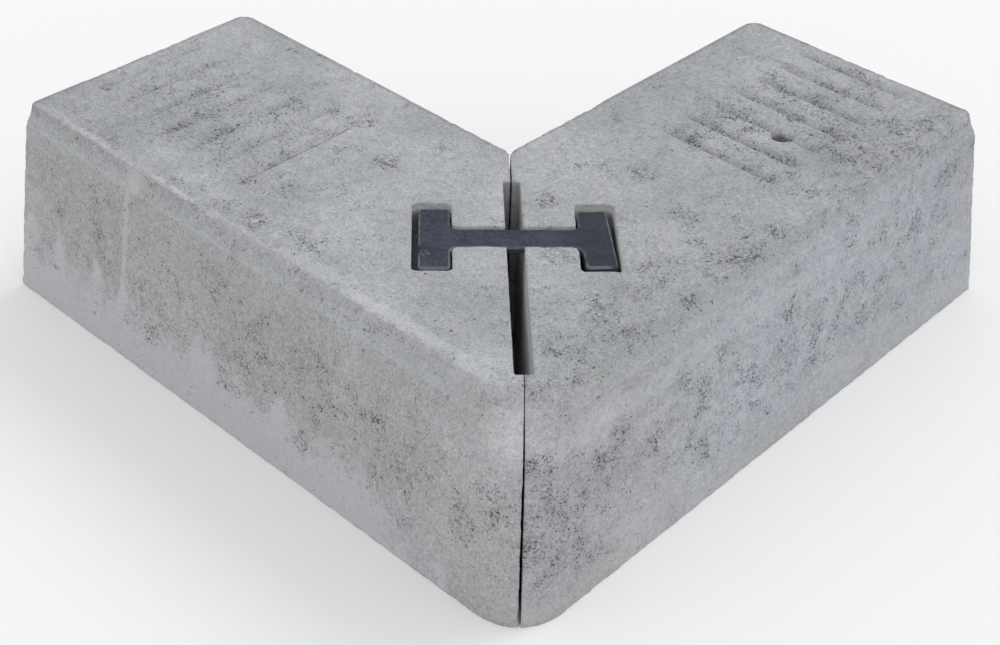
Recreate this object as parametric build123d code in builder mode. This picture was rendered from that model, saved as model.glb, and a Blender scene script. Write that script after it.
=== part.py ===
from build123d import *
from math import acos, cos, radians, sin, sqrt
import os

os.makedirs("parts", exist_ok=True)

# Corner block of a mortarless retaining wall: two mitred concrete halves and a plastic locking key.
# The mitre is the plane X = 0, the outer corner points to -Y, and the block stands on Z = 0.

# Driving sizes of the block, in millimetres
block_height = 160.0
leg_length = 570.0
arm_depth = 255.0
face_batter = 30.0
joint_gap = 0.6

# Bevel along the top of the leaning outer faces
bevel_run = 9.0
bevel_drop = 15.5

# Outer corner: a rounded upright edge under a sloping nose facet
corner_radius = 42.0
nose_setback = 70.0
nose_run = 20.0
nose_drop = 23.5

# Small moulded edges
inner_end_radius = 12.0
joint_chamfer = 3.0

# Slot between the halves, open from top to bottom
slot_width = 12.4
slot_length = 229.0
slot_start = 90.0
slot_end_radius = 2.5

# Place of the key's opening: along the mitre from the outer corner, and from the mitre to its pocket
key_centre = 246.3
pocket_inner = 45.5
pocket_corner_radius = 4.0
neck_fillet = 5.0

# Locking key: two heads joined by a bar, the right head shorter and a little turned
head_width = 23.0
head_height = 25.5
left_head_length = 75.0
right_head_length = 71.0
right_head_turn = 3.0
head_corner_radius = 3.5
bar_width = 23.5
bar_thickness = 5.0
key_edge = 1.6

# Play between the key and its opening
key_recess = 1.5
head_side_gap = 1.0
turned_head_gap = 0.3
head_outer_gap = 4.5
head_end_gap = 4.5
bar_side_gap = 0.8
bar_floor_gap = 0.5

# Shallow grooves pressed across the top of each arm, counted from its end
groove_count = 7
groove_pitch = 30.5
groove_end_margin = 9.8
groove_start = 82.0
groove_length = 114.0
groove_width = 12.0
groove_depth = 4.5
groove_wall = 2.5
groove_root_radius = 2.0

# Void left by a lost stone in one groove of the right half
void_groove = 2
void_diameter = 19.0
void_depth = 32.0
void_along_groove = 40.0

# Directions of the right arm: along it, and across it from the outer face to the inner face
along = Vector(1, 1, 0).normalized()
across = Vector(-1, 1, 0).normalized()

# The two leaning faces meet on the mitre in an edge that leans back too. A corner rounding lies against
# both faces, so how far it stands behind their sharp edge comes from half the angle between them.
diagonal = sqrt(2)
face_slope = face_batter / block_height
edge_slope = diagonal * face_slope
half_angle = acos(1 / (diagonal * sqrt(1 + face_slope**2)))
block_front = corner_radius * (1 / sin(half_angle) - 1) * sqrt(1 + edge_slope**2)
block_back = (leg_length + arm_depth) / diagonal - inner_end_radius * (diagonal - 1)

# The sharp outer corner of the foot, placed so that the joined block is centred on the origin
corner = Vector(0, -(block_front + block_back) / 2, 0)

# Section of the right arm, looking along it: local X runs across the arm, local Y runs up
arm_section = Plane(corner, x_dir=across, z_dir=along)
bevel_foot = (face_batter * (1 - bevel_drop / block_height), block_height - bevel_drop)
bevel_top = (face_batter + bevel_run, block_height)

# Section on the mitre: local X runs from the outer corner to the inner one, local Y runs up
mitre_section = Plane(corner, x_dir=Vector(0, 1, 0), z_dir=Vector(1, 0, 0))
nose_foot = (nose_setback - nose_run, block_height - bevel_drop - nose_drop)
nose_top = (nose_setback, block_height - bevel_drop)
nose_brow = (nose_setback + bevel_run, block_height)

# Opening for the key: a deep pocket for each head, and a shallow channel for the bar
key_plane = Plane(corner + Vector(0, key_centre, block_height))
pocket_width = head_side_gap + head_width + head_outer_gap
pocket_length = left_head_length + 2 * head_end_gap
pocket_depth = key_recess + head_height
pocket_middle = pocket_inner + pocket_width / 2
channel_width = bar_width + 2 * bar_side_gap
channel_depth = key_recess + bar_thickness + bar_floor_gap

# Heads of the key. The turned head stands further out, so that its inner corner clears the pocket's wall.
turn = radians(right_head_turn)
left_head_middle = pocket_inner + head_side_gap + head_width / 2
turned_half_width = (head_width * cos(turn) + right_head_length * sin(turn)) / 2
right_head_middle = pocket_inner + turned_head_gap + turned_half_width
bar_fillet = neck_fillet + head_side_gap

# Grooves start at the inner side of the arm and run towards the outer face
first_groove = leg_length - groove_end_margin - groove_width - (groove_count - 1) * groove_pitch
groove_plane = Plane(corner + across * (groove_start + groove_length), x_dir=along, z_dir=-across)
groove_places = [(first_groove + i * groove_pitch, block_height) for i in range(groove_count)]

# Both arms as one mitred form: the section runs along the right arm and is mirrored to the left one
with BuildPart() as corner_form:
    with BuildSketch(arm_section):
        Polygon((0, 0), (arm_depth, 0), (arm_depth, block_height), bevel_top, bevel_foot, align=None)
    extrude(amount=leg_length)
    split(bisect_by=Plane.YZ, keep=Keep.TOP)
    mirror(about=Plane.YZ)

    # Nose facet and its bevel, cut square to the mitre
    with BuildSketch(mitre_section):
        Polygon(nose_foot, nose_top, nose_brow, (0, block_height), (0, nose_foot[1]), align=None)
    extrude(amount=arm_depth, both=True, mode=Mode.SUBTRACT)

    # Rounded outer corner below the nose, and rounded corners at the inner ends of the arms
    middle_edges = edges().filter_by(lambda edge: abs(edge.center().X) < joint_gap)
    fillet(middle_edges.sort_by(Axis.Y)[0], corner_radius)
    upright_edges = edges().filter_by(Axis.Z).group_by(Axis.Y)[-1]
    fillet(upright_edges, inner_end_radius)

# Right half without its void, cut clear of the mitre by half of the joint gap
with BuildPart() as plain_half:
    add(corner_form.part)
    split(bisect_by=Plane.YZ.offset(joint_gap / 2), keep=Keep.TOP)
    inner_edge = edges().filter_by(Axis.Z).sort_by(Axis.X)[0]
    chamfer(inner_edge, joint_chamfer)

    # Recess in the mitre face that makes half of the slot
    with BuildSketch(Plane(corner)):
        with Locations((0, slot_start + slot_length / 2)):
            RectangleRounded(slot_width, slot_length, slot_end_radius)
    extrude(amount=block_height, mode=Mode.SUBTRACT)

    # Shallow opening for the bar, with the rounded neck, then the deep pocket for the head
    with BuildSketch(key_plane) as opening:
        with Locations((pocket_middle, 0)):
            Rectangle(pocket_width, pocket_length)
        with Locations((pocket_inner / 2, 0)):
            Rectangle(pocket_inner, channel_width)
        inner_corners = opening.vertices().group_by(Axis.X)[1].sort_by(Axis.Y)
        fillet(inner_corners[1:3], neck_fillet)
        outer_corners = opening.vertices().sort_by(Axis.Y)
        fillet(outer_corners[:2] + outer_corners[-2:], pocket_corner_radius)
    extrude(amount=-channel_depth, mode=Mode.SUBTRACT)
    with BuildSketch(key_plane):
        with Locations((pocket_middle, 0)):
            RectangleRounded(pocket_width, pocket_length, pocket_corner_radius)
    extrude(amount=-pocket_depth, mode=Mode.SUBTRACT)

    # Grooves: a steep wall towards the corner and a gentle one towards the end
    with BuildSketch(groove_plane) as groove_section:
        with Locations(*groove_places):
            Polygon((0, 0), (groove_wall, -groove_depth), (groove_width, 0), align=None)
        fillet(groove_section.vertices().group_by(Axis.Y)[0], groove_root_radius)
    extrude(amount=groove_length, mode=Mode.SUBTRACT)

# Left half: the mirror image across the mitre
with BuildPart() as left_half_block:
    mirror(plain_half.part, about=Plane.YZ)

# Right half: the same casting with a void in one groove
void_along = first_groove + void_groove * groove_pitch + groove_wall
void_across = groove_start + void_along_groove
void_centre = corner + along * void_along + across * void_across + Vector(0, 0, block_height)
with BuildPart() as right_half_block:
    add(plain_half.part)
    with Locations(void_centre):
        Hole(radius=void_diameter / 2, depth=void_depth)

# Locking key: an H-shaped plate whose two heads reach down to the floors of the pockets
key_top = Plane(corner + Vector(0, key_centre, block_height - key_recess))
with BuildPart() as locking_key:
    with BuildSketch(key_top) as plate:
        with Locations((-left_head_middle, 0)):
            Rectangle(head_width, left_head_length)
        with Locations((right_head_middle, 0)):
            Rectangle(head_width, right_head_length, rotation=right_head_turn)
        with Locations(((right_head_middle - left_head_middle) / 2, 0)):
            Rectangle(left_head_middle + right_head_middle, bar_width)
        neck_corners = plate.vertices().sort_by(Axis.Y)[4:-4]
        fillet(neck_corners, bar_fillet)
        head_corners = plate.vertices().sort_by(Axis.Y)
        fillet(head_corners[:4] + head_corners[-4:], head_corner_radius)
    extrude(amount=-bar_thickness)
    with BuildSketch(key_top):
        with Locations((-left_head_middle, 0)):
            RectangleRounded(head_width, left_head_length, head_corner_radius)
        with Locations((right_head_middle, 0)):
            RectangleRounded(head_width, right_head_length, head_corner_radius, rotation=right_head_turn)
    extrude(amount=-head_height)
    chamfer(faces().sort_by(Axis.Z)[-1].edges(), key_edge)

left_half_block.part.label = "left_half_block"
right_half_block.part.label = "right_half_block"
locking_key.part.label = "locking_key"
export_step(left_half_block.part, "parts/left_half_block.step")
export_step(right_half_block.part, "parts/right_half_block.step")
export_step(locking_key.part, "parts/locking_key.step")
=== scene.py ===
import math
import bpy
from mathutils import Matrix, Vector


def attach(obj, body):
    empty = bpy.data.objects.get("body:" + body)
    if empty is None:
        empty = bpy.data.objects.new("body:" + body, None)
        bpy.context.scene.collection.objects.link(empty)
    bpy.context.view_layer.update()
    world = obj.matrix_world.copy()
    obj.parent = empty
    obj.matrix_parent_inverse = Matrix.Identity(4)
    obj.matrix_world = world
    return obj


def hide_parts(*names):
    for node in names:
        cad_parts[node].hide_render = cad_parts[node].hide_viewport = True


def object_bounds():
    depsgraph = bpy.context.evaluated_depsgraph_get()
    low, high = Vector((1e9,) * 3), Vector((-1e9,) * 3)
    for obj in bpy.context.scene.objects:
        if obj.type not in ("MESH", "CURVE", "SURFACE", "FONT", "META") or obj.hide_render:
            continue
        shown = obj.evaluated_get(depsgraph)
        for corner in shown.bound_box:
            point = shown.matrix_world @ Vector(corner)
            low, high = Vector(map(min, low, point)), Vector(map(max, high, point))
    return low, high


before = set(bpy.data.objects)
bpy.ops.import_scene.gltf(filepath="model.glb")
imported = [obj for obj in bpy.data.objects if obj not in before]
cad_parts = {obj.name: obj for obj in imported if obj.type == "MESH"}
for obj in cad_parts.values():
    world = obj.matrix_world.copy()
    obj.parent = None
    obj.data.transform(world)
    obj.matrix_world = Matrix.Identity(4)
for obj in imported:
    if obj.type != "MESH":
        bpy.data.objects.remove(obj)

from types import SimpleNamespace

import bmesh
import bpy
import numpy as np
from mathutils import Euler, Matrix, Vector

solid_box = [list(corner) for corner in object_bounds()]

# Sizes of the block, in metres, as the frame has them
block_height = 0.16
leg_length = 0.57
arm_depth = 0.255
face_batter = 0.03
corner_radius = 0.042
inner_end_radius = 0.012
bevel_run = 0.009
bevel_drop = 0.0155
slot_half_width = 0.0062

# The slot's back, as along plus across its arm
slot_back = 0.4525

# The key's opening: its place on the mitre from the outer corner, and half sizes of the area around it
key_centre = 0.2463
opening_reach = (0.0755, 0.0435)

# Grooves across the top of each arm, and the void in one of them
groove_count = 7
groove_pitch = 0.0305
groove_width = 0.012
groove_wall = 0.0025
groove_end_margin = 0.0098
groove_ends = (0.082, 0.196)
groove_first = leg_length - groove_end_margin - groove_width - (groove_count - 1) * groove_pitch
void_groove = 2
void_place = (groove_first + void_groove * groove_pitch + groove_wall, 0.122)
void_radius = 0.0095

# The sharp outer corner of the foot, on the mitre. The joined block is centred on the origin.
diagonal = math.sqrt(2)
face_slope = face_batter / block_height
half_angle = math.acos(1 / (diagonal * math.sqrt(1 + face_slope**2)))
block_front = corner_radius * (1 / math.sin(half_angle) - 1) * math.sqrt(1 + 2 * face_slope**2)
block_back = (leg_length + arm_depth) / diagonal - inner_end_radius * (diagonal - 1)
corner_decimals = 7
outer_corner = round(-(block_front + block_back) / 2, corner_decimals)
inner_end = solid_box[1][1] - outer_corner
key_middle = outer_corner + key_centre

# Each arm runs at this angle from the mitre
arm_angle = math.radians(45)
bevel_foot = block_height - bevel_drop
mm = 0.001

# How far one step of a seed moves a noise
seed_steps = (1.37, 0.71, 2.13)


# Helpers that make nodes

def node(tree, kind, sockets=(), **settings):
    """A new node. Settings are its own properties, sockets are its inputs by name or number."""
    made = tree.nodes.new(kind)
    for name, value in settings.items():
        setattr(made, name, value)
    for key, value in dict(sockets).items():
        if isinstance(value, bpy.types.NodeSocket):
            tree.links.new(value, made.inputs[key])
        else:
            made.inputs[key].default_value = value
    return made


def calc(tree, operation, *values):
    """A Math node on up to three values."""
    return node(tree, "ShaderNodeMath", dict(enumerate(values)), operation=operation).outputs[0]


def product(tree, made, *others):
    """The values multiplied together."""
    for value in others:
        made = calc(tree, "MULTIPLY", made, value)
    return made


def total(tree, made, *others):
    """The values added up."""
    for value in others:
        made = calc(tree, "ADD", made, value)
    return made


def less(tree, value, taken):
    """One value less another."""
    return calc(tree, "SUBTRACT", value, taken)


def largest(tree, made, *others):
    """The largest of the values."""
    for value in others:
        made = calc(tree, "MAXIMUM", made, value)
    return made


def vector_calc(tree, operation, *values, result=0):
    """A Vector Math node. A length or a dot product is its second output."""
    made = node(tree, "ShaderNodeVectorMath", dict(enumerate(values)), operation=operation)
    return made.outputs[result]


def scaled(tree, vector, amount):
    """A vector or a colour times a number."""
    return node(tree, "ShaderNodeVectorMath", {0: vector, "Scale": amount}, operation="SCALE").outputs[0]


def combine(tree, x, y, z):
    """Three numbers as a vector."""
    return node(tree, "ShaderNodeCombineXYZ", {0: x, 1: y, 2: z}).outputs[0]


def apart(tree, vector):
    """The three numbers of a vector."""
    return node(tree, "ShaderNodeSeparateXYZ", {0: vector}).outputs


def ramp(tree, value, low, high, smooth=True):
    """A value from 0 to 1 as the input goes from low to high, clamped. Low may be above high."""
    kind = "SMOOTHSTEP" if smooth else "LINEAR"
    sockets = {0: value, 1: low, 2: high, 3: 0.0, 4: 1.0}
    return node(tree, "ShaderNodeMapRange", sockets, interpolation_type=kind).outputs[0]


def line_at(tree, value, middle, half_width):
    """1 where the value is at the middle, and 0 from half a width away."""
    away = calc(tree, "ABSOLUTE", less(tree, value, middle))
    return ramp(tree, away, half_width, 0.0)


def noise(tree, vector, size, seed, detail, roughness=0.55):
    """Noise with features of one size, moved away by its seed so that no two fields are alike."""
    moved = vector_calc(tree, "ADD", vector, tuple(step * seed for step in seed_steps))
    sockets = {"Vector": moved, "Scale": 1 / size, "Detail": detail, "Roughness": roughness}
    return node(tree, "ShaderNodeTexNoise", sockets).outputs[0]


def around(tree, value, spread):
    """A noise, which lies around a half, as plus or minus half of the spread."""
    return product(tree, less(tree, value, 0.5), spread)


def tint(tree, mask, under, over):
    """Colour over laid on colour under as strongly as the mask says."""
    return node(tree, "ShaderNodeMix", {0: mask, 6: under, 7: over}, data_type="RGBA").outputs[2]


def marked(tree, label):
    """What the casting's mesh says under a label."""
    return node(tree, "ShaderNodeAttribute", attribute_name=label).outputs["Fac"]


def facing_up(tree):
    """1 on a level top, 0 on an upright wall and less where the surface looks down."""
    normal = node(tree, "ShaderNodeNewGeometry").outputs["True Normal"]
    return apart(tree, normal)[2]


def object_place(tree):
    """The point's place in the shared frame."""
    return node(tree, "ShaderNodeTexCoord").outputs["Object"]


def group(name, kind, inputs, outputs):
    """A node group with named sockets. Inputs are name: (socket type, default)."""
    tree = bpy.data.node_groups.new(name, kind)
    for label, (socket, default) in inputs.items():
        made = tree.interface.new_socket(label, in_out="INPUT", socket_type=socket)
        if default is not None:
            made.default_value = default
    for label, socket in outputs.items():
        tree.interface.new_socket(label, in_out="OUTPUT", socket_type=socket)
    return tree, tree.nodes.new("NodeGroupInput").outputs, tree.nodes.new("NodeGroupOutput").inputs


def placed(tree, made, sockets):
    """The outputs of a shader group placed in a tree."""
    return node(tree, "ShaderNodeGroup", sockets, node_tree=made).outputs


def empty_material(name):
    """A new material without nodes, and its tree."""
    material = bpy.data.materials.new(name)
    material.use_nodes = True
    material.node_tree.nodes.clear()
    return material, material.node_tree


def finish_material(tree, colour, roughness, specular, bumps):
    """Ends a material with its shader and output."""
    shader = node(tree, "ShaderNodeBsdfPrincipled", {
        "Base Color": colour,
        "Roughness": roughness,
        "Specular IOR Level": specular,
        "Normal": bumps.outputs[0],
    })
    node(tree, "ShaderNodeOutputMaterial", {"Surface": shader.outputs[0]})


# Marks of a dry mix, a group that both halves place at two grain sizes

def make_open_texture():
    """Short crooked gaps, small pits and pale grains, more of each where the cover is high."""
    tree, given, result = group("open texture", "ShaderNodeTree", {
        "Vector": ("NodeSocketVector", None),
        "Grain Size": ("NodeSocketFloat", 0.006),
        "Cover": ("NodeSocketFloat", 0.3),
    }, {"Gaps": "NodeSocketFloat", "Pits": "NodeSocketFloat", "Grains": "NodeSocketFloat"})
    size, cover = given["Grain Size"], given["Cover"]
    in_grains = vector_calc(tree, "DIVIDE", given["Vector"], combine(tree, size, size, size))
    field = noise(tree, in_grains, size=1.0, seed=0, detail=2, roughness=0.65)
    breaks = noise(tree, in_grains, size=0.45, seed=3, detail=1, roughness=0.6)
    dots = noise(tree, in_grains, size=0.6, seed=7, detail=2, roughness=0.75)
    width = total(tree, product(tree, cover, 0.024), 0.007)
    line = ramp(tree, calc(tree, "PINGPONG", field, 0.11), width, 0.0)
    kept = ramp(tree, total(tree, breaks, product(tree, cover, 0.24)), 0.55, 0.68)
    pits = ramp(tree, total(tree, dots, product(tree, cover, 0.14)), 0.68, 0.78)
    grains = ramp(tree, less(tree, dots, product(tree, cover, 0.08)), 0.36, 0.26)
    tree.links.new(product(tree, line, kept), result["Gaps"])
    tree.links.new(pits, result["Pits"])
    tree.links.new(grains, result["Grains"])
    return tree


open_texture = make_open_texture()


# Concrete

bloom_white = (0.62, 0.63, 0.65, 1)
# Pale drips, also painted light on the pale foot against the shade near the floor
drip_and_lit_foot_white = (0.50, 0.508, 0.53, 1)
mould_mark_grey = (0.53, 0.535, 0.54, 1)
streak_white = (0.50, 0.515, 0.55, 1)
streak_tan = (0.45, 0.44, 0.415, 1)
# Painted light on the walls around the key's opening
opening_painted_light = (0.80, 0.805, 0.79, 1)
void_rim_olive = (0.42, 0.40, 0.30, 1)
# Painted shade deep in the void
void_painted_shade = (0.05, 0.05, 0.04, 1)


def places_on_half(tree, side, seed):
    """Where a point of a half lies, as sockets: in its arm, by its facing, and in the shared noises."""
    at = SimpleNamespace(seed=seed)
    place = object_place(tree)
    shift = -outer_corner / diagonal
    at.arm = node(tree, "ShaderNodeMapping", {
        "Vector": place,
        "Location": (shift, shift, 0),
        "Rotation": (0, 0, -arm_angle),
        "Scale": (side, 1, 1),
    }).outputs[0]
    # Along the arm from the corner, across it from the foot of its outer face, and up
    at.along, at.across, at.height = apart(tree, at.arm)
    at.from_corner = total(tree, at.along, at.across)
    over_mitre, along_mitre, _ = apart(tree, place)
    at.from_mitre = calc(tree, "ABSOLUTE", over_mitre)
    at.from_key = calc(tree, "ABSOLUTE", less(tree, along_mitre, key_middle))
    at.in_pitch = calc(tree, "FLOORED_MODULO", less(tree, at.along, groove_first), groove_pitch)

    # Shared noises: wide clouds, the sand's grit, and its fine speckle
    at.cloud = noise(tree, at.arm, size=0.04, seed=seed + 1, detail=4, roughness=0.7)
    at.grit = noise(tree, at.arm, size=0.0055, seed=seed + 6, detail=3, roughness=0.75)
    at.speckle = noise(tree, at.arm, size=0.0018, seed=seed + 5, detail=1, roughness=0.7)

    # By facing: walls, the bevel behind the rounded corner, and the outer face without the arm's end
    at.facing = facing_up(tree)
    below_top = ramp(tree, at.facing, 0.8, 0.7)
    above_walls = ramp(tree, at.facing, 0.3, 0.42)
    at.on_side = ramp(tree, at.facing, 0.42, 0.3)
    at.on_bevel = product(tree, above_walls, below_top, ramp(tree, at.along, 0.055, 0.12))
    near_front = ramp(tree, at.across, 0.04, 0.034)
    before_end = ramp(tree, at.along, leg_length - 0.0005, leg_length - 0.002)
    at.on_face = product(tree, at.on_side, near_front, before_end)

    # The whole outer side, face and bevel, which drifts off behind the bevel
    drifted = total(tree, at.across, around(tree, at.cloud, 0.05))
    at.outer = product(tree, below_top, ramp(tree, drifted, 0.085, 0.036))
    return at


def openness(tree, at, look):
    """How open the surface is: in clusters, beside the grooves, and where the casting was marked."""
    cluster = noise(tree, at.arm, size=0.017, seed=at.seed + 2, detail=3, roughness=0.65)
    near_root = line_at(tree, at.in_pitch, groove_wall + 0.001, 0.008)
    by_groove = product(tree, near_root, marked(tree, "groove"))
    cover = total(
        tree,
        product(tree, cluster, 0.8),
        product(tree, at.cloud, 0.35),
        product(tree, marked(tree, "open"), 0.24),
        product(tree, by_groove, look["groove_open"]),
    )
    cover = ramp(tree, cover, 0.57, 0.86, smooth=False)
    return product(tree, cover, less(tree, 1.0, product(tree, at.on_bevel, look["bevel_smooth"])))


def greys(tree, at, look):
    """Pairs of greys in clouds on the top, the outer face, its corner and the bevel, and blotches."""
    tone = noise(tree, at.arm, size=0.09, seed=at.seed + 4, detail=3, roughness=0.62)
    tone = ramp(tree, tone, 0.33, 0.67, smooth=False)
    past_corner = ramp(tree, at.from_corner, 0.12, 0.28)
    face = tint(tree, past_corner, tint(tree, tone, *look["corner"]), tint(tree, tone, *look["face"]))
    colour = tint(tree, at.outer, tint(tree, tone, *look["top"]), face)

    blotch = noise(tree, at.arm, size=0.028, seed=at.seed + 3, detail=3, roughness=0.6)
    past_edge = ramp(tree, at.from_corner, 0.07, 0.17)
    blotch = product(tree, ramp(tree, blotch, 0.42, 0.68), at.outer, past_edge, 0.6)
    colour = tint(tree, blotch, colour, look["blotch"])

    field = noise(tree, at.arm, size=0.02, seed=at.seed + 8, detail=3, roughness=0.6)
    bevel = product(tree, at.on_bevel, ramp(tree, field, 0.25, 0.5), look["bevel_share"])
    low_on_bevel = ramp(tree, at.height, 0.156, 0.147)
    shade = total(tree, product(tree, tone, 0.4), product(tree, low_on_bevel, 0.6))
    return tint(tree, bevel, colour, tint(tree, shade, *look["bevel"]))


def sanded(tree, at, look, colour):
    """The sand's speckle and grit, weaker on the bevel, and the places marked lighter or darker."""
    shade = total(tree, product(tree, at.speckle, look["speckle"]), product(tree, at.grit, look["grit"]))
    shade = less(tree, shade, (look["speckle"] + look["grit"]) / 2)
    shade = product(tree, shade, less(tree, 1.0, product(tree, at.on_bevel, 0.2)))
    shade = total(tree, shade, 1.0, product(tree, marked(tree, "tone"), product(tree, at.cloud, 0.7)))
    return scaled(tree, colour, shade)


def rubbed(tree, at, look, colour):
    """Duller strips at the top's inner side and end, and a pale broken line along the bevel's foot."""
    strip_width, strip_strength, line_strength = 0.003, 0.2, 0.22
    waver = product(tree, at.cloud, strip_width)
    inner = ramp(tree, total(tree, at.across, waver), arm_depth - strip_width, arm_depth - strip_width / 2)
    end = ramp(tree, total(tree, at.along, waver), leg_length - strip_width, leg_length - strip_width / 2)
    near_top = ramp(tree, at.height, 0.15, 0.156)
    strips = product(tree, largest(tree, inner, end), near_top, strip_strength)
    colour = tint(tree, strips, colour, look["gap"])
    near_front = ramp(tree, at.across, 0.06, 0.05)
    broken = ramp(tree, at.cloud, 0.35, 0.6)
    foot = product(tree, line_at(tree, at.height, bevel_foot, 0.0016), near_front, broken, line_strength)
    return tint(tree, foot, colour, look["bloom"])


def grooved(tree, at, look, colour):
    """Grooves: painted shade as a dark root beside the steep wall, and painted shade over the gentle slope.
    """
    in_groove = marked(tree, "groove")
    towards_root = ramp(tree, at.in_pitch, 0.0115, 0.002)
    slope = product(tree, towards_root, in_groove, ramp(tree, at.in_pitch, 0.0, 0.001))
    colour = tint(tree, product(tree, slope, look["slope_shade"]), colour, look["gap"])
    in_first = ramp(tree, at.along, 0.39, 0.38)
    reach = total(tree, look["root_reach"], product(tree, in_first, look["first_root"]))
    ridged = product(tree, in_groove, ramp(tree, at.grit, 0.25, 0.5))
    root = product(tree, line_at(tree, at.in_pitch, groove_wall - 0.0008, reach), ridged)
    return tint(tree, product(tree, root, look["root_shade"]), colour, look["gap"])


def walls_painted_paler(tree, at, look, colour):
    """Painted light: the slot's walls painted paler, behind the nose and up to the slot's end, and a pale
    band painted on the walls around the key.
    """
    beside_slot = ramp(tree, at.from_mitre, slot_half_width + 0.003, slot_half_width + 0.002)
    behind_nose = ramp(tree, at.across, 0.05, 0.06)
    before_back = ramp(tree, at.from_corner, slot_back + 0.002, slot_back)
    below_rim = ramp(tree, at.height, 0.161, 0.142)
    in_slot = product(tree, beside_slot, at.on_side, behind_nose, before_back, below_rim)
    past_key = ramp(tree, at.from_corner, 0.28, 0.36)
    colour = tint(tree, in_slot, colour, tint(tree, past_key, *look["slot"]))

    # Painted light: a pale band on the walls around the key's opening
    reach_over, reach_along = opening_reach
    near_along = ramp(tree, at.from_key, reach_along, reach_along - 0.001)
    near_over = ramp(tree, at.from_mitre, reach_over, reach_over - 0.001)
    on_wall = ramp(tree, at.facing, 0.5, 0.2)
    off_slot = ramp(tree, at.from_mitre, slot_half_width + 0.001, slot_half_width + 0.0025)
    band = line_at(tree, at.height, 0.1545, 0.0052)
    return tint(tree, product(tree, near_along, on_wall, near_over, off_slot, band), colour, opening_painted_light)


def hollow_void(tree, at, colour):
    """The void: olive by its rim, and painted shade that darkens it below."""
    deep = ramp(tree, at.height, 0.156, 0.136)
    return tint(tree, marked(tree, "void"), colour, tint(tree, deep, void_rim_olive, void_painted_shade))


def specked(tree, at, specks, colour):
    """Single stones and spots, each with its place in the arm, its radius and its colour."""
    for spot, radius, over in specks:
        away = vector_calc(tree, "DISTANCE", at.arm, spot, result=1)
        away = total(tree, away, around(tree, at.speckle, radius * 1.2))
        colour = tint(tree, ramp(tree, away, radius, radius * 0.6), colour, over)
    return colour


def concrete(name, side, seed, look):
    """Dry-cast concrete of one half, in its arm's own coordinates."""
    material, tree = empty_material(name)
    at = places_on_half(tree, side, seed)
    colour = sanded(tree, at, look, greys(tree, at, look))
    colour = rubbed(tree, at, look, colour)
    colour = look["stains"](tree, at, colour)
    colour = grooved(tree, at, look, colour)
    colour = walls_painted_paler(tree, at, look, colour)
    colour = hollow_void(tree, at, colour)

    # Gaps and pits are dark, and pale grains stand between them
    cover, grain_size = openness(tree, at, look), look["grain_size"]
    coarse = placed(tree, open_texture, {"Vector": at.arm, "Grain Size": grain_size, "Cover": cover})
    fine = placed(tree, open_texture, {"Vector": at.arm, "Grain Size": grain_size / 2, "Cover": cover})
    gaps = largest(tree, coarse["Gaps"], product(tree, fine["Gaps"], 0.65))
    pits = largest(tree, coarse["Pits"], fine["Pits"])
    pale = total(tree, 0.3, product(tree, marked(tree, "bloom"), 0.4))
    colour = tint(tree, product(tree, coarse["Grains"], pale), colour, look["bloom"])
    colour = tint(tree, product(tree, gaps, 0.9), colour, look["gap"])
    colour = tint(tree, product(tree, pits, 0.8), colour, look["pit"])
    # Painted shade: darker where the surface lies below its wider blurred shape, in hollows and grooves
    colour = tint(tree, product(tree, marked(tree, "cavity"), look["hollow_shade"]), colour, look["gap"])
    colour = specked(tree, at, look["specks"], colour)

    relief = total(
        tree,
        product(tree, at.grit, 0.7),
        product(tree, gaps, -0.5),
        product(tree, pits, -0.8),
        product(tree, coarse["Grains"], 0.5),
    )
    bumps = node(tree, "ShaderNodeBump", {"Strength": 0.7, "Distance": 0.001, "Height": relief})
    finish_material(tree, colour, roughness=0.93, specular=0.25, bumps=bumps)
    return material


# Stains, which differ between the halves

def rim_bloom(tree, at, ragged, colour):
    """Grainy bloom along the bevel's upper edge, broader towards the corner."""
    narrow_reach, more_reach, further_in = 0.0042, 0.0088, 0.0065
    broad = ramp(tree, at.along, 0.30, 0.24)
    edge = total(tree, face_batter + bevel_run + 0.0005, product(tree, broad, further_in))
    away = calc(tree, "ABSOLUTE", less(tree, at.across, edge))
    reach = total(tree, narrow_reach, product(tree, broad, more_reach))
    near = ramp(tree, total(tree, away, around(tree, ragged, 0.02)), reach, 0.0)
    grainy = ramp(tree, total(tree, near, less(tree, at.grit, 0.5)), 0.2, 0.9)
    field = noise(tree, at.arm, size=0.03, seed=at.seed + 9, detail=3, roughness=0.7)
    patchy = total(tree, product(tree, ramp(tree, field, 0.32, 0.62), 0.7), 0.3)
    above_foot = ramp(tree, at.across, 0.0345, 0.0380)
    bloom = product(tree, grainy, marked(tree, "bloom"), above_foot, patchy, 0.85)
    return tint(tree, bloom, colour, bloom_white)


def drips_and_lit_foot(tree, at, ragged, colour):
    """Pale drips that rise from the foot of the outer face, over a pale foot that is partly painted light
    against the shade near the floor.
    """
    drip_and_lit_foot = total(tree, marked(tree, "drip_and_lit_foot"), around(tree, ragged, 1.6), around(tree, at.grit, 0.8))
    return tint(tree, product(tree, ramp(tree, drip_and_lit_foot, 0.1, 0.95), at.on_face, 0.85), colour, drip_and_lit_foot_white)


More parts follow.
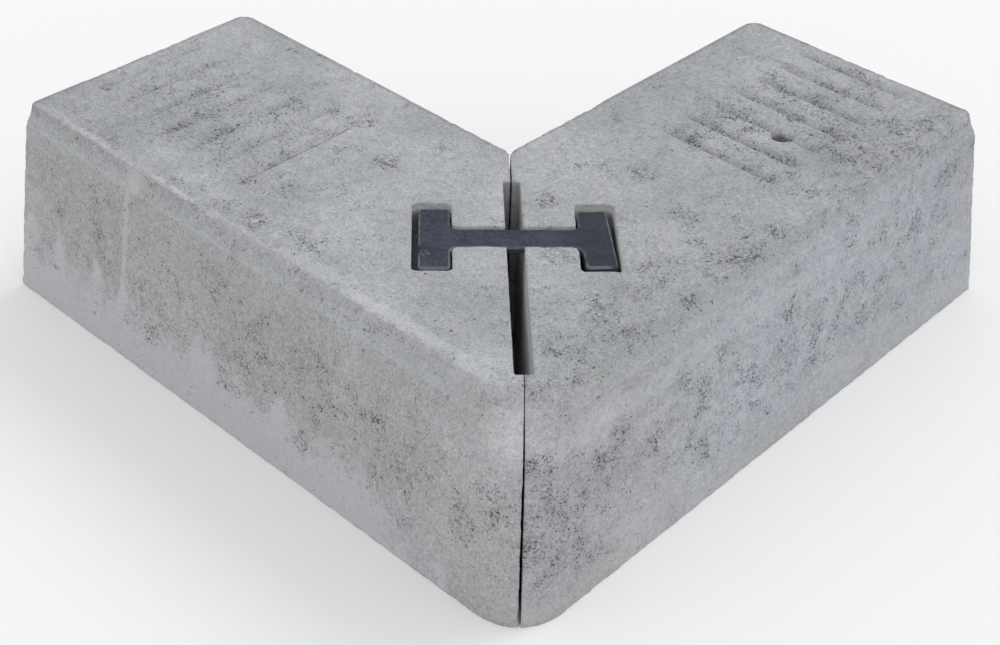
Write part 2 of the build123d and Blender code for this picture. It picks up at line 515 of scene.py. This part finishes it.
def mould_marks(tree, at, ragged, colour):
    """Upright marks of the mould: a long one that smears out on the bevel, and a short faint one."""
    long_place, smear_place, short_place = 0.437, 0.434, 0.185
    long_reach, smear_reach, short_reach = 0.0055, 0.018, 0.004
    wavering = total(tree, at.along, around(tree, ragged, 0.012))
    long_line = line_at(tree, wavering, long_place, long_reach)
    smear_line = line_at(tree, wavering, smear_place, smear_reach)
    short_line = line_at(tree, wavering, short_place, short_reach)
    long_mark = product(tree, long_line, ramp(tree, at.height, 0.035, 0.085))
    smear = product(tree, smear_line, ramp(tree, at.height, 0.137, 0.146))
    short_mark = product(tree, short_line, ramp(tree, at.height, 0.09, 0.1), 0.4)
    marks = largest(tree, long_mark, smear, short_mark)
    return tint(tree, product(tree, marks, at.outer, 0.6), colour, mould_mark_grey)


def left_stains(tree, at, colour):
    """Left half: bloom along the bevel, drips that rise from a pale foot that is partly painted light, and
    upright mould marks.
    """
    ragged = noise(tree, at.arm, size=0.012, seed=at.seed + 7, detail=4, roughness=0.8)
    for stain in (rim_bloom, drips_and_lit_foot, mould_marks):
        colour = stain(tree, at, ragged, colour)
    return colour


def right_stains(tree, at, colour):
    """Right half: pale and tan streaks that run along the outer face."""
    stretch = (0.14, 1.0, 1.0)
    band_height, band_reach = 0.124, 0.016
    drawn = vector_calc(tree, "MULTIPLY", at.arm, stretch)
    streaks = noise(tree, drawn, size=0.012, seed=at.seed + 7, detail=3, roughness=0.6)
    band = line_at(tree, at.height, band_height, band_reach)
    band = product(tree, band, ramp(tree, at.along, 0.45, 0.39), 0.25)
    pale = product(tree, ramp(tree, total(tree, band, streaks), 0.5, 0.72), at.on_face, 0.4)
    colour = tint(tree, pale, colour, streak_white)
    low = product(tree, ramp(tree, at.height, 0.035, 0.004), at.on_face)
    return tint(tree, product(tree, low, ramp(tree, streaks, 0.38, 0.6), 0.35), colour, streak_tan)


left_look = {
    "grain_size": 0.0055, "speckle": 0.8, "grit": 0.6, "groove_open": 0.07,
    "bevel_smooth": 0.0, "bevel_share": 0.8,
    "top": ((0.355, 0.365, 0.385, 1), (0.45, 0.46, 0.485, 1)),
    "face": ((0.352, 0.354, 0.357, 1), (0.422, 0.427, 0.437, 1)),
    "corner": ((0.354, 0.358, 0.365, 1), (0.422, 0.428, 0.442, 1)),
    "bevel": ((0.390, 0.396, 0.414, 1), (0.432, 0.447, 0.465, 1)),
    # Slot walls: painted light, paler near the corner than past the key
    "slot": ((0.86, 0.87, 0.88, 1), (0.60, 0.61, 0.60, 1)),
    "blotch": (0.394, 0.394, 0.387, 1),
    "bloom": (0.58, 0.59, 0.60, 1),
    # The dark of the open texture's gaps, also used as painted shade in grooves and hollows
    "gap": (0.11, 0.11, 0.115, 1),
    "pit": (0.05, 0.05, 0.052, 1),
    "root_reach": 0.0014, "first_root": 0.0014, "root_shade": 0.9, "slope_shade": 0.08, "hollow_shade": 0.3,
    "specks": [
        ((0.187, 0.096, 0.16), 0.0016, (0.35, 0.06, 0.05, 1)),
        ((0.129, 0.063, 0.16), 0.0016, (0.16, 0.11, 0.08, 1)),
        ((0.430, 0.136, 0.16), 0.0032, (0.54, 0.54, 0.53, 1)),
        ((0.319, 0.054, 0.16), 0.0032, (0.54, 0.53, 0.51, 1)),
    ],
    "stains": left_stains,
}
right_look = {
    "grain_size": 0.0055, "speckle": 0.8, "grit": 0.65, "groove_open": 0.07,
    "bevel_smooth": 0.2, "bevel_share": 0.85,
    "top": ((0.34, 0.35, 0.37, 1), (0.43, 0.44, 0.465, 1)),
    "face": ((0.36, 0.372, 0.40, 1), (0.452, 0.476, 0.527, 1)),
    "corner": ((0.365, 0.370, 0.382, 1), (0.448, 0.457, 0.478, 1)),
    "bevel": ((0.34, 0.352, 0.36, 1), (0.39, 0.402, 0.415, 1)),
    # Slot walls: painted light, paler near the corner than past the key
    "slot": ((0.86, 0.87, 0.88, 1), (0.60, 0.61, 0.60, 1)),
    "blotch": (0.425, 0.427, 0.428, 1),
    # The dark of the open texture's gaps, also used as painted shade in grooves and hollows
    "bloom": (0.58, 0.59, 0.61, 1),
    "gap": (0.11, 0.11, 0.12, 1),
    "pit": (0.05, 0.05, 0.055, 1),
    "root_reach": 0.002, "first_root": 0.0, "root_shade": 0.45, "slope_shade": 0.18, "hollow_shade": 0.35,
    "specks": [],
    "stains": right_stains,
}
concrete_left = concrete("left concrete", -1, 10, left_look)
concrete_right = concrete("right concrete", 1, 30, right_look)


# Plastic of the key

slate_dark = (0.011, 0.015, 0.029, 1)
slate_pale = (0.041, 0.050, 0.080, 1)
slate_deep = (0.008, 0.011, 0.021, 1)
wall_slate = (0.05, 0.056, 0.07, 1)
# Rubbed edges and painted highlight on the chamfers
rubbed_and_highlight_grey = (0.16, 0.17, 0.20, 1)
dust_grey = (0.22, 0.23, 0.25, 1)
scuff_place = (-0.0645, -0.0705, 0.1585)


def key_plastic():
    """Dark slate moulding, darker at its right head, with paler edges that are partly rubbed and partly a
    painted highlight, dust and a scuff.
    """
    material, tree = empty_material("key plastic")
    place, facing = object_place(tree), facing_up(tree)
    cloud = noise(tree, place, size=0.02, seed=60, detail=4, roughness=0.65)
    mottle = noise(tree, place, size=0.0028, seed=63, detail=2, roughness=0.7)
    grain = noise(tree, place, size=0.0008, seed=61, detail=1)
    mixed = total(tree, product(tree, cloud, 0.5), product(tree, mottle, 0.5))
    colour = tint(tree, ramp(tree, mixed, 0.39, 0.61), slate_dark, slate_pale)
    on_right = product(tree, ramp(tree, apart(tree, place)[0], 0.02, 0.05), 0.5)
    colour = tint(tree, on_right, colour, slate_deep)
    colour = tint(tree, ramp(tree, facing, 0.5, 0.1), colour, wall_slate)
    dust = product(tree, ramp(tree, grain, 0.66, 0.8), 0.35)
    colour = tint(tree, dust, colour, dust_grey)
    # Paler edges: partly rubbed wear, partly a painted highlight on the chamfers
    on_edge = product(tree, ramp(tree, facing, 0.2, 0.5), ramp(tree, facing, 0.98, 0.85))
    colour = tint(tree, product(tree, on_edge, ramp(tree, cloud, 0.3, 0.6)), colour, rubbed_and_highlight_grey)
    from_scuff = vector_calc(tree, "DISTANCE", place, scuff_place, result=1)
    scratches = noise(tree, place, size=0.0016, seed=62, detail=1)
    scuff = product(tree, ramp(tree, from_scuff, 0.0048, 0.003), ramp(tree, scratches, 0.5, 0.6), 0.4)
    colour = tint(tree, scuff, colour, dust_grey)
    roughness = total(tree, 0.45, product(tree, cloud, 0.2))
    bumps = node(tree, "ShaderNodeBump", {"Strength": 0.3, "Distance": 0.0002, "Height": grain})
    finish_material(tree, colour, roughness, specular=0.3, bumps=bumps)
    return material


# Wear of the two castings, as Geometry Nodes

def make_weathering():
    """Takes a clean casting to a worn one: rubbed and chipped edges, shallow hollows and pits."""
    tree, given, result = group("weathered casting", "GeometryNodeTree", {
        "Geometry": ("NodeSocketGeometry", None),
        "Edge Reach": ("NodeSocketInt", 2),
        "Edge Wear": ("NodeSocketFloat", 0.75),
        "Chip Size": ("NodeSocketFloat", 0.011),
        "Hollow Depth": ("NodeSocketFloat", 0.0006),
        "Hollow Size": ("NodeSocketFloat", 0.05),
        "Pit Depth": ("NodeSocketFloat", 0.0012),
        "Pit Size": ("NodeSocketFloat", 0.008),
        "Seed": ("NodeSocketFloat", 0.0),
        "Material": ("NodeSocketMaterial", None),
    }, {"Geometry": "NodeSocketGeometry"})
    place = node(tree, "GeometryNodeInputPosition").outputs[0]
    out = node(tree, "GeometryNodeInputNormal").outputs[0]

    def blurred(times):
        """The casting's own shape, smoothed a number of times."""
        made = node(tree, "GeometryNodeBlurAttribute", {"Iterations": times}, data_type="FLOAT_VECTOR")
        value = next(socket for socket in made.inputs if socket.enabled and socket.name == "Value")
        tree.links.new(place, value)
        return next(socket for socket in made.outputs if socket.enabled)

    def sized(size, seed_step, detail):
        """Noise whose size is an input, moved away by the seed and a step."""
        seed = given["Seed"]
        away = combine(tree, seed, seed_step, seed)
        return node(tree, "ShaderNodeTexNoise", {
            "Vector": vector_calc(tree, "ADD", place, away),
            "Scale": calc(tree, "DIVIDE", 1.0, size),
            "Detail": detail,
            "Roughness": 0.6,
        }).outputs[0]

    # How far the surface stands out from its blurred shape, and how far it lies below a wider one
    soft = blurred(given["Edge Reach"])
    proud = vector_calc(tree, "DOT_PRODUCT", vector_calc(tree, "SUBTRACT", place, soft), out, result=1)
    wide = blurred(product(tree, given["Edge Reach"], 4.0))
    sunk = vector_calc(tree, "DOT_PRODUCT", vector_calc(tree, "SUBTRACT", wide, place), out, result=1)
    cavity = ramp(tree, sunk, 0.0003, 0.0022)

    # Edges go back to the blurred shape, more where a chip is, and less where the casting is sheltered
    on_edge = ramp(tree, proud, 0.00005, 0.0004)
    chips = ramp(tree, sized(given["Chip Size"], 1.0, 4.0), 0.42, 0.66)
    sheltered = node(tree, "GeometryNodeInputNamedAttribute", {"Name": "sheltered"}, data_type="FLOAT")
    open_air = less(tree, 1.0, sheltered.outputs[0])
    wear = product(tree, given["Edge Wear"], total(tree, 0.25, chips), open_air, on_edge)
    worn = node(tree, "ShaderNodeMix", {0: wear, 4: place, 5: soft}, data_type="VECTOR").outputs[1]

    # Hollows and pits go inwards, and the bed stays flat
    hollows = product(tree, sized(given["Hollow Size"], 2.0, 3.0), given["Hollow Depth"])
    pits = product(tree, ramp(tree, sized(given["Pit Size"], 3.0, 3.0), 0.58, 0.8), given["Pit Depth"])
    off_bed = ramp(tree, apart(tree, out)[2], -0.9, -0.5)
    inward = scaled(tree, out, product(tree, total(tree, hollows, pits), off_bed, -1.0))

    shape = given["Geometry"]
    for kind, sockets in (
        ("GeometryNodeStoreNamedAttribute", {"Name": "cavity", "Value": cavity}),
        ("GeometryNodeSetPosition", {"Position": vector_calc(tree, "ADD", worn, inward)}),
        ("GeometryNodeSetShadeSmooth", {}),
        ("GeometryNodeRealizeInstances", {}),
        ("GeometryNodeSetMaterial", {"Material": given["Material"]}),
    ):
        shape = node(tree, kind, {"Geometry": shape, **sockets}).outputs[0]
    tree.links.new(shape, result["Geometry"])
    return tree


weathering = make_weathering()


# Helpers for the castings' meshes

def set_inputs(modifier, values):
    """Sets a Geometry Nodes modifier's inputs by their sockets' identifiers."""
    items = modifier.node_group.interface.items_tree
    identifiers = {item.name: item.identifier for item in items if item.in_out == "INPUT"}
    for label, value in values.items():
        modifier[identifiers[label]] = value


def settle(obj):
    """Turns the object's modifiers into plain mesh."""
    depsgraph = bpy.context.evaluated_depsgraph_get()
    mesh = bpy.data.meshes.new_from_object(obj.evaluated_get(depsgraph))
    obj.modifiers.clear()
    obj.data = mesh


def copy_of(name, new_name):
    """A joined-up copy of a frame node's mesh as a new object."""
    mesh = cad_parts[name].data.copy()
    made = bpy.data.objects.new(new_name, mesh)
    bpy.context.scene.collection.objects.link(made)
    shape = bmesh.new()
    shape.from_mesh(mesh)
    bmesh.ops.remove_doubles(shape, verts=shape.verts, dist=1e-6)
    shape.to_mesh(mesh)
    shape.free()
    mesh.materials.clear()
    return made


def in_arm(mesh, side):
    """The mesh's points as along, across and height of their arm, in metres."""
    points = np.empty(len(mesh.vertices) * 3)
    mesh.vertices.foreach_get("co", points)
    x, y, z = points.reshape(-1, 3).T
    y = y - outer_corner
    return np.array([(side * x + y) / diagonal, (y - side * x) / diagonal, z])


def put_back(mesh, side, arm):
    """Gives the mesh's points new places along, across and up their arm."""
    along, across, height = arm
    x, y = side * (along - across) / diagonal, (along + across) / diagonal + outer_corner
    mesh.vertices.foreach_set("co", np.stack([x, y, height], axis=1).ravel())
    mesh.update()


def eased(value, low, high):
    """0 to 1 as the value goes from low to high, with soft ends. Low may be above high."""
    share = np.clip((value - low) / (high - low), 0, 1)
    return share * share * (3 - 2 * share)


def within_groove(across):
    """How far inside the nearer end of its groove a point lies."""
    return np.minimum(across - groove_ends[0], groove_ends[1] - across)


# Forms that time and handling gave the castings

def with_faded_grooves(arm, depth_share):
    """Grooves that keep a share of their depth and fade out at their ends."""
    along, across, height = arm
    in_grooves = (along > groove_first - 0.002) & (height > block_height - 0.006)
    keep = depth_share * eased(within_groove(across), -0.001, 0.016)
    height = np.where(in_grooves, block_height - (block_height - height) * keep, height)
    return np.array([along, across, height])


def with_open_joint(arm):
    """The joint in front of the slot, closed towards the top and open below it."""
    # Each side moves in by 0.2 mm at the top, and out by 0.1 mm at a height of 125 mm and 0.4 mm at the foot
    along, across, height = arm
    at_joint = ((along - across) / diagonal < 0.0012) & ((along + across) / diagonal < 0.092)
    opened = 0.0003 * eased(height, 0.15, 0.125) + 0.0003 * eased(height, 0.125, 0.0) - 0.0002
    shift = opened * at_joint / diagonal
    return np.array([along + shift, across - shift, height])


def with_broken_void(arm):
    """A void narrower than the drilled one, with a broken rim that slopes on the side of the arm's end."""
    along, across, height = arm
    out_along, out_across = along - void_place[0], across - void_place[1]
    away = np.hypot(out_along, out_across) + 1e-9
    turn = np.arctan2(out_across, out_along)
    # The rim is pulled in by about 1.7 mm, in waves around it, and more on the side of the arm's end
    ragged = 0.0017 + 0.0007 * np.sin(3 * turn + 1) + 0.0005 * np.sin(5 * turn + 2)
    pull = ragged * (1 + 0.9 * np.cos(turn - 0.3)) * eased(away, 0.016, void_radius) / away
    slope = 0.005 * eased(away, 0.014, void_radius) * np.clip(out_along / away, 0, 1)
    lowered = height - slope * eased(height, 0.15, 0.158)
    height = np.where(away > void_radius - 0.001, lowered, height)
    return np.array([along - pull * out_along, across - pull * out_across, height])


def within_block(arm):
    """The points kept inside the block's plain sizes and its rounded inner ends."""
    along, across, height = arm
    past = np.maximum((along + across) / diagonal - inner_end, 0) / diagonal
    along, across = np.minimum(along - past, leg_length), np.minimum(across - past, arm_depth)
    return np.array([along, across, np.clip(height, 0, block_height)])


# Marks stored on the castings, which their materials and their wear read by label

def soft_patches(arm, places):
    """The strongest of several soft patches, each (place in the arm, three half sizes, strength), in mm."""
    found = np.zeros(arm.shape[1])
    for place in places:
        centre, half_sizes, strength = np.array(place[:3]) * mm, np.array(place[3:6]) * mm, place[6]
        away = np.linalg.norm((arm - centre[:, None]) / half_sizes[:, None], axis=0)
        patch = strength * (1 - eased(away, 0.3, 1.2))
        found = np.where(np.abs(patch) > np.abs(found), patch, found)
    return found


def drip_and_foot_shapes(arm, tips):
    """A pale foot, partly a pale band of the casting and partly painted light against the shade near the
    floor, and drips that rise from it to their tips, each (along, height) in mm.
    """
    along, _, height = arm
    foot_top, foot_fade = 0.07, 0.05
    tip_half_width, spread = 0.006, 0.3
    past_tip, tip_fade = 0.012, 0.02
    fullness = 1.35
    # The pale foot: partly a pale band, partly painted light against the shade near the floor
    found = np.clip((foot_top - height) / foot_fade, 0, 1) * eased(along, 0.06, 0.17)
    for middle, top in np.array(tips).reshape(-1, 2) * mm:
        half_width = tip_half_width + np.maximum(top - height, 0) * spread
        below_tip = np.clip((top + past_tip - height) / tip_fade, 0, 1)
        across_drip = np.clip(fullness - np.abs(along - middle) / half_width, 0, 1)
        found = np.maximum(found, across_drip * below_tip)
    return found


def mark(mesh, arm, marks):
    """Stores where the casting is open, pale, dark, dripped on or given painted light at the foot, grooved,
    hollow or sheltered.
    """
    along, across, height = arm
    from_void = np.hypot(along - void_place[0], across - void_place[1])
    in_grooves = (along > groove_first - 0.003) & (height > 0.15)
    in_void = eased(from_void, void_radius + 0.002, void_radius) * eased(height, 0.158, 0.146)
    rounded_corner = (along - across < 0.006) & (along + across < 0.13) & (height > 0.1)
    fields = {
        "groove": in_grooves * eased(within_groove(across), 0.0, 0.012),
        "open": soft_patches(arm, marks["open"]),
        "tone": soft_patches(arm, marks["tone"]),
        "bloom": soft_patches(arm, marks["bloom"]),
        "drip_and_lit_foot": drip_and_foot_shapes(arm, marks["drips"]),
        "void": in_void * (height > 0.1) * marks["has_void"],
        "sheltered": rounded_corner * eased(height, 0.1, 0.135),
    }
    for label, values in fields.items():
        stored = mesh.attributes.new(label, "FLOAT", "POINT")
        stored.data.foreach_set("value", values.astype(np.float32))


def casting(name, new_name, side, material, seed, marks):
    """A half block: remeshed while it lies along its own arm, then marked, shaped and weathered."""
    piece = copy_of(name, new_name)
    lay = Matrix.Rotation(-side * arm_angle, 4, "Z")
    piece.data.transform(lay)
    remesh = piece.modifiers.new("fine mesh", "REMESH")
    remesh.mode = "SHARP"
    remesh.octree_depth = 8
    remesh.scale = 0.93
    settle(piece)
    piece.data.transform(lay.inverted())

    arm = in_arm(piece.data, side)
    mark(piece.data, arm, marks)
    arm = with_open_joint(with_faded_grooves(arm, marks["groove_share"]))
    if marks["has_void"]:
        arm = with_broken_void(arm)
    put_back(piece.data, side, arm)

    worn = piece.modifiers.new("weathering", "NODES")
    worn.node_group = weathering
    set_inputs(worn, {"Edge Wear": marks["edge_wear"], "Seed": seed, "Material": material})
    settle(piece)
    put_back(piece.data, side, within_block(in_arm(piece.data, side)))
    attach(piece, "root")
    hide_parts(name)


def top_patches(places, reach, strength):
    """Patches of one size on the top, each (along, across) in mm."""
    return [(along, across, 160, reach, reach, reach, strength) for along, across in places]


def face_patches(places, reach, strength):
    """Patches of one size on the leaning outer face, each (along, height) in mm."""
    return [(along, face_slope * height, height, reach, reach, reach, strength) for along, height in places]


left_marks = {
    "open": top_patches([
        (320, 55), (285, 70), (265, 65), (350, 50), (525, 120), (460, 90), (425, 85), (425, 185),
        (370, 205), (365, 80), (430, 135), (335, 95), (310, 180), (340, 150), (295, 220), (355, 250),
    ], 14, 0.55) + top_patches([
        (460, 90), (425, 85), (410, 105), (365, 80), (375, 205), (425, 185), (515, 115), (520, 130),
        (545, 95), (525, 220), (395, 200), (450, 30), (400, 50), (455, 125),
    ], 9, 0.75) + face_patches([
        (465, 85), (520, 85), (400, 35), (385, 60), (260, 65), (305, 40), (150, 90), (100, 75), (225, 30),
        (65, 55), (85, 5), (120, 25), (195, 85), (320, 105),
    ], 17, 0.5) + [
        (460, 135, 160, 125, 80, 15, 0.4), (300, 15, 85, 320, 30, 45, 0.3), (35, 15, 78, 65, 40, 50, 0.42),
        (42, 42, 133, 36, 36, 26, -1.3), (300, 3, 10, 400, 30, 32, -0.6), (300, 33, 152, 330, 8, 9, 0.2),
    ],
    "tone": [
        (400, 160, 160, 90, 60, 15, -0.12), (530, 75, 160, 90, 60, 15, -0.3),
        (515, 48, 160, 90, 22, 5, -0.45), (345, 85, 160, 80, 28, 15, -0.2), (345, 46, 160, 95, 9, 6, -0.3),
        (42, 42, 133, 34, 34, 24, 0.9), (90, 50, 160, 60, 30, 15, 0.3), (250, 120, 160, 100, 70, 15, 0.15),
        (65, 13, 70, 60, 30, 50, 0.2),
    ],
    "bloom": [
        (190, 45, 160, 130, 28, 20, 0.55), (500, 39, 160, 70, 25, 20, 0.6), (360, 39, 160, 90, 25, 20, 0.6),
    ],
    "drips": [
        (560, 70), (520, 65), (470, 65), (435, 60), (345, 60), (330, 60), (295, 55), (250, 60), (190, 40),
        (170, 20), (115, 15), (80, 20),
    ],
    "groove_share": 0.6,
    "edge_wear": 0.75,
    "has_void": False,
}
right_marks = {
    "open": top_patches([
        (140, 45), (135, 30), (100, 65), (250, 50), (280, 35), (320, 35), (205, 35), (450, 65), (455, 45),
        (450, 25), (160, 80), (305, 165), (225, 190), (280, 105), (375, 65), (415, 55), (85, 35),
    ], 16, 0.68) + top_patches([
        (515, 230), (370, 90), (405, 85), (455, 85), (515, 90), (455, 130), (365, 140), (380, 185),
        (400, 165), (470, 185), (425, 50), (445, 30),
    ], 10, 0.7) + face_patches([
        (315, 100), (340, 70), (190, 105), (145, 75), (40, 120), (35, 90), (75, 35), (115, 105), (195, 45),
        (400, 80), (475, 100), (525, 125), (270, 90), (335, 50), (390, 135), (430, 110),
    ], 19, 0.7) + [
        (460, 135, 160, 125, 80, 15, 0.5), (470, 50, 160, 90, 45, 15, 0.7),
        (200, 55, 160, 190, 32, 15, 0.36), (280, 15, 75, 330, 30, 52, 0.45),
        (50, 12, 80, 85, 40, 50, 0.72), (270, 47, 160, 60, 20, 15, 0.9),
        (320, 34, 153, 320, 8, 9, 0.4), (42, 42, 133, 30, 30, 22, -0.7), (95, 22, 122, 30, 15, 18, -0.6),
        (300, 3, 8, 400, 30, 26, -0.5),
    ],
    "tone": [
        (457, 62, 160, 90, 60, 15, -0.15), (42, 42, 133, 30, 30, 24, 0.25), (95, 22, 122, 30, 15, 18, 0.4),
        (440, 150, 160, 110, 70, 15, 0.2), (164, 84, 160, 60, 60, 15, -0.13),
        (40, 8, 50, 60, 30, 45, -0.15), (510, 25, 133, 85, 20, 22, -0.4),
    ],
    "bloom": [(262, 42, 160, 80, 16, 15, 1.0)],
    "drips": [],
    "groove_share": 1.0,
    "edge_wear": 0.95,
    "has_void": True,
}

casting("left_half_block", "left_casting", -1, concrete_left, 3.0, left_marks)
casting("right_half_block", "right_casting", 1, concrete_right, 7.0, right_marks)

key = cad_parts["locking_key"]
key.data.materials.clear()
key.data.materials.append(key_plastic())


# Stage and light

floor_reach = 20
floor_grey = (0.94, 0.94, 0.94, 1)
sky_white = (0.995, 0.998, 1.0, 1)
sky_strength = 0.86
window_strength = 0.65
window_width = math.radians(25)
window_direction = Vector((-0.6, -0.5, -0.8))

scene = bpy.context.scene
floor_corners = [(x * floor_reach, y * floor_reach, 0) for x, y in ((-1, -1), (1, -1), (1, 1), (-1, 1))]
floor_mesh = bpy.data.meshes.new("studio_floor")
floor_mesh.from_pydata(floor_corners, [], [(0, 1, 2, 3)])
studio_floor = bpy.data.objects.new("studio_floor", floor_mesh)
scene.collection.objects.link(studio_floor)
floor_material = bpy.data.materials.new("pale floor")
floor_material.use_nodes = True
floor_shader = floor_material.node_tree.nodes["Principled BSDF"]
floor_shader.inputs["Base Color"].default_value = floor_grey
floor_shader.inputs["Roughness"].default_value = 0.9
floor_mesh.materials.append(floor_material)

sky = bpy.data.worlds.new("studio")
sky.use_nodes = True
sky_light = sky.node_tree.nodes["Background"]
sky_light.inputs["Color"].default_value = sky_white
sky_light.inputs["Strength"].default_value = sky_strength
scene.world = sky

window = bpy.data.lights.new("window", "SUN")
window.energy = window_strength
window.angle = window_width
window_object = bpy.data.objects.new("window", window)
window_object.rotation_euler = window_direction.to_track_quat("-Z", "Y").to_euler()
scene.collection.objects.link(window_object)


# Camera at the photograph's viewing angle

camera_place = (-0.060974, -1.048256, 0.85026)
camera_tilt = math.radians(52.38554)
camera_roll = math.radians(-1.66897)
camera_heading = math.radians(-1.73179)

camera = bpy.data.cameras.new("camera")
camera.sensor_width = 36
camera.lens = 60.711
camera.clip_start = 0.05
camera_object = bpy.data.objects.new("camera", camera)
turn = Euler((camera_tilt, camera_roll, camera_heading)).to_matrix().to_4x4()
camera_object.matrix_world = Matrix.Translation(camera_place) @ turn
scene.collection.objects.link(camera_object)
scene.camera = camera_object
scene.view_settings.view_transform = "Standard"
